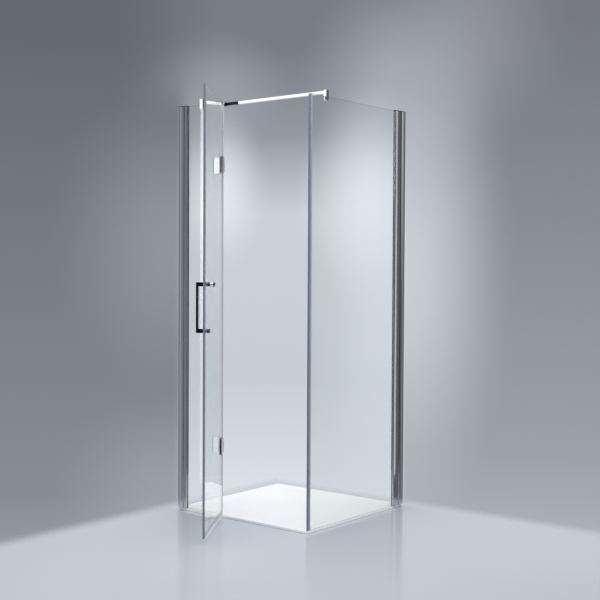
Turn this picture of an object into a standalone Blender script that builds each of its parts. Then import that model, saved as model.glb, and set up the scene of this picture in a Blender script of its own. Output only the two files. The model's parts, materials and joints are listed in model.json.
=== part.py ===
"""Corner shower enclosure: tray, two fixed glass panels in wall profiles,
a hinged glass door that stands open, and a support bar across the top.

Metres, +Z up. The origin is on the tray's underside, 4 mm from its centre.
+X runs along the front towards the free glass corner, +Y runs to the back wall.
The left wall is the plane x = WALL_X, the back wall is the plane y = WALL_Y.
"""
import math

import bmesh
import bpy
from mathutils import Matrix, Vector

# ---------------------------------------------------------------- dimensions
GAP = 0.0003                 # clearance left between touching pieces

TRAY_W = 0.802               # tray, along x
TRAY_D = 0.762               # tray, along y
TRAY_T = 0.012               # tray thickness
TRAY_LIP = 0.002             # tray edge outside the glass faces
WALL_X = -0.405              # left wall plane
WALL_Y = 0.385               # back wall plane
FRONT_Y = WALL_Y - TRAY_D + TRAY_LIP     # outer face of the front glass
SIDE_X = WALL_X + TRAY_W - TRAY_LIP      # outer face of the side glass

GLASS_T = 0.006
PANEL_H = 1.950              # side panel
PANEL_Z = TRAY_T + GAP       # lower edge of the fixed panels
PANEL_TOP = TRAY_T + PANEL_H
INLINE_TOP = PANEL_TOP + 0.006       # the front panel stands a little higher
DOOR_Z = TRAY_T + 0.009      # door glass, lower edge
DOOR_TOP = PANEL_TOP + 0.009
FRONT_MID = FRONT_Y + GLASS_T / 2
SIDE_MID = SIDE_X - GLASS_T / 2
ARRIS = 0.0008               # ground edges of the glass

HINGE_X = WALL_X + 0.280     # hinge axis
HINGE_Y = FRONT_MID
DOOR_OPEN = 56.4             # degrees the door stands open
EDGE_GAP = 0.005             # hinge axis to each glass edge
DOOR_GLASS_END = 0.500       # hinge axis to the free glass edge
DOOR_SEAL_END = 0.511        # hinge axis to the free end of the door's seal

LEFT_PROFILE_H = 1.956       # wall profiles
BACK_PROFILE_H = 1.950
CHANNEL_DEPTH = 0.035
CHANNEL_W = 0.026
CHANNEL_T = 0.0015
LEFT_ADJUST_LEN = 0.052
BACK_ADJUST_LEN = 0.060
ADJUST_W = 0.0222
ADJUST_T = 0.0015
LEFT_REACH = 0.055           # wall to the mouth of the left adjusting profile
BACK_REACH = 0.082           # wall to the mouth of the back adjusting profile
POCKET = 0.027               # depth of the glass pocket

LEAF_H = 0.075               # hinge leaves
LEAF_NEAR = 0.0115           # hinge axis to the leaf
LEAF_FAR = 0.066
LEAF_T = 0.0055
LEAF_END_T = 0.0034          # its thickness at both ends
LEAF_SLOPE = 0.0110          # length of the slopes down to them
LEAF_IN = GLASS_T / 2 + GAP  # glass mid-plane to the leaf's clamping face
KNUCKLE_R = 0.0078
KNUCKLE_H = 0.060
KNUCKLE_MID = 0.0125         # half height of the door's knuckle
PIN_R = 0.0030
NOTCH = 0.0185               # depth of the glass notch, from the hinge axis
NOTCH_H = 0.0700
HINGE_Z = (TRAY_T + 0.334, TRAY_T + 1.659)

HANDLE_R = 0.447             # hinge axis to the handle
HANDLE_Z = TRAY_T + 1.0025
HANDLE_CC = 0.202
HANDLE_BAR_OUT = 0.0440      # glass mid-plane to the bar's outer face
HANDLE_BAR_T = 0.0095
HANDLE_W = 0.018
KNOB_OUT = 0.0375            # glass mid-plane to the knob's end
CAP_OUT = 0.0165             # glass mid-plane to the end of each inner cap

BAR_W = 0.015                # support bar, square
BAR_Y = FRONT_Y + 0.125
BAR_Z = TRAY_T + 1.969
CLAMP_X = WALL_X + 0.145     # clamp on the fixed front panel
KNUCKLE_X = WALL_X + 0.184   # corner of the bar
CORNER_R = 0.0105            # its round knuckle
CORNER_H = 0.0180
SLEEVE_END = WALL_X + 0.273  # end of its sleeve
SPIGOT_R = 0.0040
SPIGOT_L = 0.0060
CLAMP_W = 0.018              # along the glass
CLAMP_T = 0.016              # across the glass
CLAMP_DOWN = 0.019           # clamp below and above the glass edge
CLAMP_UP = 0.029

WASTE = (WALL_X + 0.105, FRONT_Y + 0.125)
WASTE_R = 0.055
WASTE_RECESS = 0.0060

# ------------------------------------------------------------------- set-up
for ob in list(bpy.data.objects):
    bpy.data.objects.remove(ob, do_unlink=True)

PARTS = bpy.data.collections.new("corner_shower_enclosure")
CUTTERS = bpy.data.collections.new("cutters")
bpy.context.scene.collection.children.link(PARTS)
bpy.context.scene.collection.children.link(CUTTERS)


def material(name, color, rough, metal, alpha=1.0):
    m = bpy.data.materials.new(name)
    m.use_nodes = True
    b = m.node_tree.nodes["Principled BSDF"]
    b.inputs["Base Color"].default_value = (*color, 1.0)
    b.inputs["Roughness"].default_value = rough
    b.inputs["Metallic"].default_value = metal
    b.inputs["Alpha"].default_value = alpha
    m.diffuse_color = (*color, alpha)
    return m


COLORS = {
    "chrome": ((0.80, 0.81, 0.83), 0.06, 1.0, 1.0),
    "dark_chrome": ((0.30, 0.31, 0.33), 0.10, 1.0, 1.0),
    "steel": ((0.62, 0.63, 0.65), 0.30, 1.0, 1.0),
    "glass": ((0.80, 0.90, 0.89), 0.02, 0.0, 0.35),
    "seal": ((0.86, 0.90, 0.92), 0.25, 0.0, 0.6),
    "tray": ((0.90, 0.90, 0.91), 0.35, 0.0, 1.0),
    "cap": ((0.18, 0.19, 0.21), 0.35, 0.0, 1.0),
    "rubber": ((0.35, 0.37, 0.40), 0.55, 0.0, 1.0),
}


def finish(ob, kind, parent=None):
    """Name the mesh, give the piece its own material, hang it on its parent."""
    ob.data.name = ob.name
    color, rough, metal, alpha = COLORS[kind]
    ob.data.materials.clear()
    ob.data.materials.append(material(ob.name, color, rough, metal, alpha))
    if parent is not None:
        ob.parent = parent
    return ob


def link(ob, cutter=False):
    (CUTTERS if cutter else PARTS).objects.link(ob)
    if cutter:
        ob.hide_render = True
        ob.display_type = "WIRE"
    return ob


# --------------------------------------------------------------- basic shapes
def box(name, lo, hi, bevel=0.0, segments=2, cutter=False):
    """A box between two corners, its edges rounded by a bevel."""
    bm = bmesh.new()
    size = [hi[i] - lo[i] for i in range(3)]
    mid = [(hi[i] + lo[i]) / 2 for i in range(3)]
    bmesh.ops.create_cube(bm, size=1.0)
    bmesh.ops.scale(bm, vec=size, verts=bm.verts)
    mesh = bpy.data.meshes.new(name)
    bm.to_mesh(mesh)
    bm.free()
    ob = bpy.data.objects.new(name, mesh)
    ob.location = mid
    link(ob, cutter)
    if bevel:
        md = ob.modifiers.new("rounded_edges", "BEVEL")
        md.width = bevel
        md.segments = segments
        md.limit_method = "ANGLE"
    return ob


def rod(name, radius, length, at, axis="Z", sides=32, bevel=0.0, cutter=False):
    """A cylinder with its middle at a point, lying along an axis."""
    bm = bmesh.new()
    bmesh.ops.create_cone(bm, cap_ends=True, segments=sides,
                          radius1=radius, radius2=radius, depth=length)
    mesh = bpy.data.meshes.new(name)
    bm.to_mesh(mesh)
    bm.free()
    mesh.shade_smooth()
    mesh.set_sharp_from_angle(angle=math.radians(35))
    ob = bpy.data.objects.new(name, mesh)
    ob.location = at
    if axis == "X":
        ob.rotation_euler = (0, math.radians(90), 0)
    elif axis == "Y":
        ob.rotation_euler = (math.radians(90), 0, 0)
    link(ob, cutter)
    if bevel:
        md = ob.modifiers.new("rounded_edges", "BEVEL")
        md.width = bevel
        md.segments = 2
        md.limit_method = "ANGLE"
        md.angle_limit = math.radians(50)
    return ob


def turned(name, profile, at, rotation=(0, 0, 0), steps=24):
    """A turned piece: (radius, height) points from the top down the outside."""
    mesh = bpy.data.meshes.new(name)
    bm = bmesh.new()
    vs = [bm.verts.new((r, 0.0, z)) for r, z in profile]
    for a, b in zip(vs, vs[1:]):
        bm.edges.new((a, b))
    bm.to_mesh(mesh)
    bm.free()
    ob = bpy.data.objects.new(name, mesh)
    ob.location = at
    ob.rotation_euler = rotation
    link(ob)
    md = ob.modifiers.new("turn", "SCREW")
    md.axis = "Z"
    md.angle = 2 * math.pi
    md.screw_offset = 0.0
    md.steps = steps
    md.render_steps = steps
    md.use_merge_vertices = True
    md.merge_threshold = 0.00001
    md.use_smooth_shade = True
    return ob


def extruded(name, outline, length, at, rotation=(0, 0, 0)):
    """A flat outline pushed out along its normal: a 2D curve made a mesh."""
    curve = bpy.data.curves.new(name + "_outline", "CURVE")
    curve.dimensions = "2D"
    curve.fill_mode = "BOTH"
    curve.extrude = length / 2
    spline = curve.splines.new("POLY")
    spline.points.add(len(outline) - 1)
    for p, (x, y) in zip(spline.points, outline):
        p.co = (x, y, 0.0, 1.0)
    spline.use_cyclic_u = True
    tmp = bpy.data.objects.new(name + "_outline", curve)
    PARTS.objects.link(tmp)
    tmp.location = at
    tmp.rotation_euler = rotation
    bpy.context.view_layer.update()
    dg = bpy.context.evaluated_depsgraph_get()
    mesh = bpy.data.meshes.new_from_object(tmp.evaluated_get(dg))
    world = tmp.matrix_world.copy()
    bpy.data.objects.remove(tmp, do_unlink=True)
    bm = bmesh.new()
    bm.from_mesh(mesh)
    bmesh.ops.remove_doubles(bm, verts=bm.verts, dist=0.00001)
    bmesh.ops.recalc_face_normals(bm, faces=bm.faces)
    bm.to_mesh(mesh)
    bm.free()
    ob = bpy.data.objects.new(name, mesh)
    ob.matrix_world = world
    link(ob)
    return ob


def cut(ob, cutter, parent=None):
    md = ob.modifiers.new("cut_" + cutter.name, "BOOLEAN")
    md.operation = "DIFFERENCE"
    md.solver = "EXACT"
    md.object = cutter
    if parent is not None:
        cutter.parent = parent
    return ob


def join(ob, other, parent=None):
    md = ob.modifiers.new("join_" + other.name, "BOOLEAN")
    md.operation = "UNION"
    md.solver = "EXACT"
    md.object = other
    if parent is not None:
        other.parent = parent
    return ob


# ------------------------------------------------------------------ the pivot
door_pivot = bpy.data.objects.new("door_pivot", None)
door_pivot.location = (HINGE_X, HINGE_Y, 0.0)
door_pivot.rotation_euler = (0, 0, -math.radians(DOOR_OPEN))
PARTS.objects.link(door_pivot)

# the fixed leaves hang on an empty at the same axis that does not turn
frame_pivot = bpy.data.objects.new("frame_pivot", None)
frame_pivot.location = (HINGE_X, HINGE_Y, 0.0)
PARTS.objects.link(frame_pivot)

# ----------------------------------------------------------------------- tray
tray = box("shower_tray", (WALL_X, WALL_Y - TRAY_D, 0.0),
           (WALL_X + TRAY_W, WALL_Y, TRAY_T), bevel=0.0016, segments=2)
recess = rod("cut_waste_recess", WASTE_R + 0.0015, 0.02,
             (WASTE[0], WASTE[1], TRAY_T - WASTE_RECESS + 0.01), sides=48, cutter=True)
well = rod("cut_waste_well", 0.0445, 0.05, (WASTE[0], WASTE[1], TRAY_T - 0.03),
           sides=48, cutter=True)
cut(tray, recess)
cut(tray, well)
finish(tray, "tray")

# waste flange: a ring on the recess floor with a throat down through the tray
flange = turned(
    "waste_flange",
    [(0.0370, TRAY_T - WASTE_RECESS + 0.0020), (0.0520, TRAY_T - WASTE_RECESS + 0.0020),
     (0.0530, TRAY_T - WASTE_RECESS + 0.0012), (0.0530, TRAY_T - WASTE_RECESS + GAP),
     (0.0438, TRAY_T - WASTE_RECESS + GAP), (0.0438, 0.0010), (0.0370, 0.0010),
     (0.0370, TRAY_T - WASTE_RECESS + 0.0020)],
    (WASTE[0], WASTE[1], 0.0), steps=36)
finish(flange, "steel")

# waste cover: a dished disc with three stub feet worked out as one ring below
cover_low = TRAY_T - WASTE_RECESS + 0.0020 + GAP
cover = turned(
    "waste_cover",
    [(0.0, TRAY_T + 0.0004), (0.046, TRAY_T + 0.0002), (WASTE_R - 0.001, TRAY_T - 0.0002),
     (WASTE_R, TRAY_T - 0.0010), (WASTE_R, TRAY_T - 0.0026), (0.0480, TRAY_T - 0.0026),
     (0.0480, cover_low), (0.0440, cover_low), (0.0440, TRAY_T - 0.0026),
     (0.0, TRAY_T - 0.0026)],
    (WASTE[0], WASTE[1], 0.0), steps=36)
finish(cover, "tray")


# -------------------------------------------------------------- wall profiles
def channel_outline():
    """U section: the wall at x = 0, the mouth towards +x."""
    w, t, d = CHANNEL_W / 2, CHANNEL_T, CHANNEL_DEPTH
    lip = 0.0006
    return [(0, -w), (d - lip, -w), (d, -w + lip), (d, -w + t), (t, -w + t),
            (t, w - t), (d, w - t), (d, w - lip), (d - lip, w), (0, w)]


def adjust_outline(length):
    """H section: sliding legs towards the wall, a glass pocket towards +x."""
    w, t, n = ADJUST_W / 2, ADJUST_T, length
    web = n - POCKET
    lip = 0.0047
    r = 0.0022
    outer = [(n - r, -w), (n - r * 0.3, -w + r * 0.3), (n, -w + r)]
    return ([(0, -w)] + outer +
            [(n, -lip), (n - 0.0015, -lip), (n - 0.0015, -w + t + 0.0004),
             (n - 0.0025, -w + t), (web, -w + t), (web, w - t),
             (n - 0.0025, w - t), (n - 0.0015, w - t - 0.0004), (n - 0.0015, lip), (n, lip)] +
            [(x, -y) for x, y in reversed(outer)] +
            [(0, w), (0, w - t), (web - 0.0015, w - t), (web - 0.0015, -w + t), (0, -w + t)])


def gasket_outline():
    """U section round the glass edge inside the pocket."""
    out, inn, n = 0.0043, GLASS_T / 2 + GAP, POCKET - 0.0012
    return [(0, -out), (n, -out), (n, -inn), (0.0012, -inn),
            (0.0012, inn), (n, inn), (n, out), (0, out)]


def cap_outline(reach):
    """Plan shape of the top cap over channel, adjusting profile and glass."""
    w, a, d = CHANNEL_W / 2, ADJUST_W / 2, CHANNEL_DEPTH
    return [(0, -w), (d, -w), (d, -a), (reach, -a), (reach, a), (d, a), (d, w), (0, w)]


PZ = TRAY_T + GAP                        # foot of the profiles
CAP_T = 0.0030


def wall_profile(side, origin, angle, reach, length, height, inner):
    """Channel, adjusting profile, gasket, cap and lock screws of one wall.

    inner is +1 or -1: the side of the section that faces into the shower.
    """
    middle = PZ + height / 2
    rot = (0, 0, math.radians(angle))
    turn = Matrix.Rotation(math.radians(angle), 3, "Z")

    def at(x, y, z):
        v = turn @ Vector((x, y, 0.0))
        return (origin[0] + v.x, origin[1] + v.y, z)

    channel = extruded(side + "_wall_channel", channel_outline(), height, at(0, 0, middle), rot)
    for i, z in enumerate((0.12, height / 2, height - 0.12)):
        hole = rod("cut_%s_wall_hole_%d" % (side, i), 0.0030, 0.012, at(0, 0, PZ + z),
                   sides=16, cutter=True)
        hole.rotation_euler = (0, math.radians(90), rot[2])
        cut(channel, hole)
    adjust = extruded(side + "_adjusting_profile", adjust_outline(length), height,
                      at(reach - length, 0, middle), rot)
    lock_x = (CHANNEL_DEPTH + reach - length) / 2
    for i, z in enumerate((0.16, height / 2 + 0.02, height - 0.16)):
        hole = rod("cut_%s_lock_hole_%d" % (side, i), 0.0020, 0.010,
                   at(lock_x, inner * (CHANNEL_W / 2 - 0.002), PZ + z), sides=12, cutter=True)
        hole.rotation_euler = (math.radians(90), 0, rot[2])
        cut(channel, hole)
        cut(adjust, hole)
        screw = turned(
            "%s_lock_screw_%d" % (side, i + 1),
            [(0.0, 0.0022), (0.0016, 0.0021), (0.0031, 0.0013), (0.0034, GAP),
             (0.0016, GAP), (0.0016, -0.0060), (0.0006, -0.0076), (0.0, -0.0076)],
            at(lock_x, inner * CHANNEL_W / 2, PZ + z), steps=12)
        screw.rotation_euler = (math.radians(-90 * inner), 0, rot[2])
        finish(screw, "steel")
    gasket = extruded(side + "_glazing_gasket", gasket_outline(), height - 0.004,
                      at(reach - POCKET + 0.0005, 0, middle), rot)
    cap = extruded(side + "_profile_cap", cap_outline(reach), CAP_T,
                   at(0, 0, PZ + height + GAP + CAP_T / 2), rot)
    finish(channel, "chrome")
    finish(adjust, "chrome")
    finish(gasket, "rubber")
    finish(cap, "cap")


wall_profile("left", (WALL_X, FRONT_MID), 0.0, LEFT_REACH, LEFT_ADJUST_LEN,
             LEFT_PROFILE_H, 1)
wall_profile("back", (SIDE_MID, WALL_Y), -90.0, BACK_REACH, BACK_ADJUST_LEN,
             BACK_PROFILE_H, -1)

# ---------------------------------------------------------------- fixed glass
INLINE_START = WALL_X + LEFT_REACH - POCKET + 0.0005 + 0.0012 + GAP
inline_glass = box("inline_glass", (INLINE_START, FRONT_Y, PANEL_Z),
                   (HINGE_X - EDGE_GAP, FRONT_Y + GLASS_T, INLINE_TOP), bevel=ARRIS, segments=1)
for i, z in enumerate(HINGE_Z):
    notch = box("cut_inline_notch_%d" % i, (HINGE_X - NOTCH, FRONT_Y - 0.01, z - NOTCH_H / 2),
                (HINGE_X + 0.01, FRONT_Y + GLASS_T + 0.01, z + NOTCH_H / 2), cutter=True)
    cut(inline_glass, notch)
finish(inline_glass, "glass")

SIDE_START = FRONT_Y + 0.0100
side_glass = box("side_glass", (SIDE_X - GLASS_T, SIDE_START, PANEL_Z),
                 (SIDE_X, WALL_Y - BACK_REACH + POCKET - 0.0005 - 0.0012 - GAP, PANEL_TOP),
                 bevel=ARRIS, segments=1)
finish(side_glass, "glass")

# ----------------------------------------------------------------- door glass
door_glass = box("door_glass", (EDGE_GAP, -GLASS_T / 2, DOOR_Z),
                 (DOOR_GLASS_END, GLASS_T / 2, DOOR_TOP), bevel=ARRIS, segments=1)
for i, z in enumerate(HINGE_Z):
    notch = box("cut_door_notch_%d" % i, (-0.01, -0.013, z - NOTCH_H / 2),
                (NOTCH, 0.013, z + NOTCH_H / 2), cutter=True)
    cut(door_glass, notch, door_pivot)
for i, s in enumerate((-1, 1)):
    hole = rod("cut_handle_hole_%d" % i, 0.0060, 0.03,
               (HANDLE_R, 0.0, HANDLE_Z + s * HANDLE_CC / 2), axis="Y", sides=24, cutter=True)
    cut(door_glass, hole, door_pivot)
finish(door_glass, "glass", door_pivot)


# --------------------------------------------------------------------- hinges
def leaf(name, near, far, face, way, z):
    """A leaf: flat on the glass side, sloping down to both ends outside."""
    outline = [(near, face), (far, face), (far, face + way * LEAF_END_T),
               (far - LEAF_SLOPE, face + way * LEAF_T),
               (near + LEAF_SLOPE, face + way * LEAF_T), (near, face + way * LEAF_END_T)]
    ob = extruded(name, outline, LEAF_H, (0, 0, z))
    md = ob.modifiers.new("rounded_edges", "BEVEL")
    md.width = 0.0012
    md.segments = 2
    md.limit_method = "ANGLE"
    md.angle_limit = math.radians(50)
    return ob


def hinge(tag, z):
    """Two leaves on the fixed glass, two on the door, and the pin between."""
    for side, sx, pivot in (("fixed", -1, frame_pivot), ("door", 1, door_pivot)):
        near, far = sorted((sx * LEAF_NEAR, sx * LEAF_FAR))
        outer = leaf("%s_hinge_%s_outer_leaf" % (tag, side), near, far, -LEAF_IN, -1, z)
        # the neck carries the knuckles and lies in the notch of the glass
        if side == "fixed":
            spans = ((KNUCKLE_MID + GAP, KNUCKLE_H / 2), (-KNUCKLE_H / 2, -KNUCKLE_MID - GAP))
        else:
            spans = ((-KNUCKLE_MID, KNUCKLE_MID),)
        for j, (a, b) in enumerate(spans):
            neck_x = sorted((sx * (NOTCH - 0.0012), 0.0))
            neck = box("part_%s_%s_neck_%d" % (tag, side, j),
                       (neck_x[0], -LEAF_IN - 0.0030, z + a), (neck_x[1], GLASS_T / 2 - 0.0004, z + b),
                       cutter=True)
            barrel = rod("part_%s_%s_barrel_%d" % (tag, side, j), KNUCKLE_R, b - a,
                         (0, 0, z + (a + b) / 2), sides=24, cutter=True)
            join(outer, neck, pivot)
            join(outer, barrel, pivot)
        bore = rod("cut_%s_%s_bore" % (tag, side), PIN_R + GAP, 0.09, (0, 0, z),
                   sides=16, cutter=True)
        cut(outer, bore, pivot)
        inner = leaf("%s_hinge_%s_inner_leaf" % (tag, side), near, far, LEAF_IN, 1, z)
        for k, s in enumerate((-1, 1)):
            sx_at = sx * 0.0400
            sz = z + s * 0.0215
            # countersunk clamping screw: head in the inner leaf, tip in the outer leaf
            sink = turned("cut_%s_%s_sink_%d" % (tag, side, k),
                          [(0.0, 0.0040), (0.0053, 0.0040), (0.0053, -0.0008), (0.0029, -0.0034),
                           (0.0029, -0.0200), (0.0, -0.0200)],
                          (sx_at, LEAF_IN + LEAF_T, sz), (math.radians(-90), 0, 0), steps=16)
            PARTS.objects.unlink(sink)
            link(sink, cutter=True)
            cut(inner, sink, pivot)
            tap = rod("cut_%s_%s_tap_%d" % (tag, side, k), 0.0026, 0.0086,
                      (sx_at, -LEAF_IN - 0.0003, sz), axis="Y", sides=16, cutter=True)
            cut(outer, tap, pivot)
            screw = turned(
                "%s_hinge_%s_screw_%d" % (tag, side, k + 1),
                [(0.0, -0.0012), (0.0016, -0.0012), (0.0022, -0.0003), (0.0049, -0.0004),
                 (0.0049, -0.0006), (0.0025, -0.0030), (0.0023, -0.0032),
                 (0.0023, -0.0145), (0.0018, -0.0153), (0.0, -0.0153)],
                (sx_at, LEAF_IN + LEAF_T, sz), (math.radians(-90), 0, 0), steps=12)
            finish(screw, "steel", pivot)
            glass = inline_glass if side == "fixed" else door_glass
            clear = rod("cut_%s_%s_clear_%d" % (tag, side, k), 0.0040, 0.03,
                        (sx_at, 0.0, sz), axis="Y", sides=16, cutter=True)
            cut(glass, clear, pivot)
        finish(outer, "chrome", pivot)
        finish(inner, "chrome", pivot)
    pin = turned(
        tag + "_hinge_pin",
        [(0.0, 0.0332), (0.0035, 0.0332), (0.0045, 0.0324), (0.0045, KNUCKLE_H / 2 + GAP),
         (PIN_R, KNUCKLE_H / 2 + GAP), (PIN_R, -0.0310), (PIN_R - 0.0006, -0.0316), (0.0, -0.0316)],
        (0, 0, z), steps=16)
    finish(pin, "chrome", frame_pivot)


hinge("lower", HINGE_Z[0])
hinge("upper", HINGE_Z[1])

# --------------------------------------------------------------------- handle
low = HANDLE_Z - HANDLE_CC / 2 - HANDLE_W / 2
high = HANDLE_Z + HANDLE_CC / 2 + HANDLE_W / 2
grip = box("handle_grip", (HANDLE_R - HANDLE_W / 2, -HANDLE_BAR_OUT, low),
           (HANDLE_R + HANDLE_W / 2, -HANDLE_BAR_OUT + HANDLE_BAR_T, high),
           bevel=0.0014, segments=2)
for i, s in enumerate((-1, 1)):
    zc = HANDLE_Z + s * HANDLE_CC / 2
    washer = turned(
        "%s_handle_washer" % ("lower", "upper")[i],
        [(0.0045, 0.0010), (0.0078, 0.0010), (0.0080, 0.0008), (0.0080, 0.0),
         (0.0045, 0.0), (0.0045, 0.0010)],
        (HANDLE_R, -GLASS_T / 2 - GAP, zc), (math.radians(90), 0, 0), steps=20)
    finish(washer, "seal", door_pivot)
    arm = box("part_handle_arm_%d" % i,
              (HANDLE_R - HANDLE_W / 2 + 0.0004, -HANDLE_BAR_OUT + 0.0025, zc - HANDLE_W / 2 + 0.0004),
              (HANDLE_R + HANDLE_W / 2 - 0.0004, -GLASS_T / 2 - 2 * GAP - 0.0010,
               zc + HANDLE_W / 2 - 0.0004),
              bevel=0.0010, segments=1, cutter=True)
    join(grip, arm, door_pivot)
    socket = rod("cut_handle_socket_%d" % i, 0.0043, 0.024, (HANDLE_R, -0.012, zc),
                 axis="Y", sides=16, cutter=True)
    cut(grip, socket, door_pivot)
finish(grip, "dark_chrome", door_pivot)

for tag, s, out in (("upper", 1, 0.0260), ("lower", -1, 0.0120)):
    zc = HANDLE_Z + s * HANDLE_CC / 2
    stud = rod(tag + "_handle_stud", 0.0040, 0.021 + out, (HANDLE_R, (out - 0.021) / 2, zc),
               axis="Y", sides=16, bevel=0.0005)
    finish(stud, "steel", door_pivot)

zc = HANDLE_Z + HANDLE_CC / 2
face = GLASS_T / 2 + GAP
base = CAP_OUT + GAP
collar = turned(
    "upper_inner_cap",
    [(0.0043, CAP_OUT), (0.0086, CAP_OUT), (0.0094, CAP_OUT - 0.0008), (0.0094, face + 0.0010),
     (0.0088, face), (0.0043, face), (0.0043, CAP_OUT)],
    (HANDLE_R, 0.0, zc), (math.radians(-90), 0, 0), steps=24)
finish(collar, "dark_chrome", door_pivot)
knob = turned(
    "inner_knob",
    [(0.0, KNOB_OUT), (0.0090, KNOB_OUT), (0.0098, KNOB_OUT - 0.0008),
     (0.0098, KNOB_OUT - 0.0036), (0.0090, KNOB_OUT - 0.0044), (0.0074, KNOB_OUT - 0.0050),
     (0.0070, KNOB_OUT - 0.0058), (0.0070, base), (0.0043, base), (0.0043, 0.0263),
     (0.0, 0.0263)],
    (HANDLE_R, 0.0, zc), (math.radians(-90), 0, 0), steps=24)
finish(knob, "chrome", door_pivot)
zc = HANDLE_Z - HANDLE_CC / 2
cap = turned(
    "lower_inner_cap",
    [(0.0, CAP_OUT), (0.0086, CAP_OUT), (0.0094, CAP_OUT - 0.0008), (0.0094, face + 0.0010),
     (0.0088, face), (0.0043, face), (0.0043, 0.0123), (0.0, 0.0123)],
    (HANDLE_R, 0.0, zc), (math.radians(-90), 0, 0), steps=24)
finish(cap, "dark_chrome", door_pivot)

# ---------------------------------------------------------------- support bar
bar_end = SIDE_MID - CLAMP_T / 2 - GAP
bar = box("support_bar", (SLEEVE_END + GAP, BAR_Y - BAR_W / 2, BAR_Z - BAR_W / 2),
          (bar_end, BAR_Y + BAR_W / 2, BAR_Z + BAR_W / 2), bevel=0.0012, segments=2)
bar_spigot = rod("part_bar_spigot", SPIGOT_R, 2 * SPIGOT_L, (SLEEVE_END, BAR_Y, BAR_Z),
                 axis="X", sides=16, cutter=True)
join(bar, bar_spigot)
finish(bar, "chrome")

# corner connector: a round knuckle with a square sleeve that meets the bar
corner = rod("corner_connector", CORNER_R, CORNER_H, (KNUCKLE_X, BAR_Y, BAR_Z),
             sides=32, bevel=0.0010)
sleeve = box("part_corner_sleeve", (KNUCKLE_X, BAR_Y - BAR_W / 2, BAR_Z - BAR_W / 2),
             (SLEEVE_END, BAR_Y + BAR_W / 2, BAR_Z + BAR_W / 2), bevel=0.0010, segments=2,
             cutter=True)
join(corner, sleeve)
sleeve_bore = rod("cut_sleeve_bore", SPIGOT_R + GAP, 2 * SPIGOT_L + 2 * GAP,
                  (SLEEVE_END, BAR_Y, BAR_Z), axis="X", sides=16, cutter=True)
cut(corner, sleeve_bore)

# short arm from the front panel's clamp to the knuckle, at an angle in plan
arm_foot = Vector((CLAMP_X, FRONT_MID))
arm_head = Vector((KNUCKLE_X, BAR_Y))
arm_way = (arm_head - arm_foot).normalized()
arm_side = Vector((arm_way.y, -arm_way.x)) * BAR_W / 2
arm_turn = math.atan2(arm_way.y, arm_way.x)
head_mid = arm_head - arm_way * (CORNER_R + GAP)
foot_y = FRONT_MID + CLAMP_T / 2 + GAP
foot_a, foot_b = (v + arm_way * (foot_y - v.y) / arm_way.y
                  for v in (arm_foot + arm_side, arm_foot - arm_side))
short_arm = extruded("support_short_arm",
                     [tuple(foot_b), tuple(foot_a), tuple(head_mid + arm_side),
                      tuple(head_mid - arm_side)], BAR_W, (0, 0, BAR_Z))
md = short_arm.modifiers.new("rounded_edges", "BEVEL")
md.width = 0.0012
md.segments = 2
md.limit_method = "ANGLE"
arm_spigot = rod("part_arm_spigot", SPIGOT_R, 2 * SPIGOT_L,
                 (head_mid.x, head_mid.y, BAR_Z), sides=16, cutter=True)
arm_spigot.rotation_euler = (0, math.radians(90), arm_turn)
join(short_arm, arm_spigot)
arm_bore = rod("cut_corner_bore", SPIGOT_R + GAP, 2 * SPIGOT_L + 2 * GAP,
               (head_mid.x, head_mid.y, BAR_Z), sides=16, cutter=True)
arm_bore.rotation_euler = (0, math.radians(90), arm_turn)
cut(corner, arm_bore)
finish(corner, "dark_chrome")
finish(short_arm, "chrome")


def glass_clamp(name, centre, along, top):
    """A block with a slot from below that straddles the top edge of the glass."""
    a, t = CLAMP_W / 2, CLAMP_T / 2
    hx, hy = (a, t) if along == "X" else (t, a)
    ob = box(name, (centre[0] - hx, centre[1] - hy, top - CLAMP_DOWN),
             (centre[0] + hx, centre[1] + hy, top + CLAMP_UP), bevel=0.0010, segments=2)
    s = GLASS_T / 2 + GAP
    sx, sy = (a + 0.01, s) if along == "X" else (s, a + 0.01)
    slot = box("cut_" + name + "_slot", (centre[0] - sx, centre[1] - sy, top - CLAMP_DOWN - 0.01),
               (centre[0] + sx, centre[1] + sy, top + GAP), cutter=True)
    cut(ob, slot)
    return ob


def set_screw(name, at, rotation, length=0.0042):
    """A headless set screw with a hexagon socket."""
    ob = turned(name, [(0.0, -0.0012), (0.0012, -0.0012), (0.0012, 0.0), (0.0019, 0.0),
                       (0.0022, -0.0004), (0.0022, -length + 0.0005), (0.0015, -length),
                       (0.0, -length)], at, rotation, steps=12)
    return finish(ob, "steel")


for name, centre, along, top in (
        ("inline_glass_clamp", (CLAMP_X, FRONT_MID), "X", INLINE_TOP),
        ("side_glass_clamp", (SIDE_MID, BAR_Y), "Y", PANEL_TOP)):
    clamp = glass_clamp(name, centre, along, top)
    # set screw from the inner side, low on the clamp's leg
    if along == "X":
        spot = (centre[0], centre[1] + CLAMP_T / 2, top - 0.0095)
        rot = (math.radians(-90), 0, 0)
        hole = rod("cut_" + name + "_tap", 0.0025, 0.016, spot, axis="Y", sides=12, cutter=True)
    else:
        spot = (centre[0] - CLAMP_T / 2, centre[1], top - 0.0095)
        rot = (0, math.radians(-90), 0)
        hole = rod("cut_" + name + "_tap", 0.0025, 0.016, spot, axis="X", sides=12, cutter=True)
    slot_clear = GLASS_T / 2 + 2 * GAP
    cut(clamp, hole)
    finish(clamp, "chrome")
    set_screw(name + "_screw", spot, rot, length=CLAMP_T / 2 - slot_clear)

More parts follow.
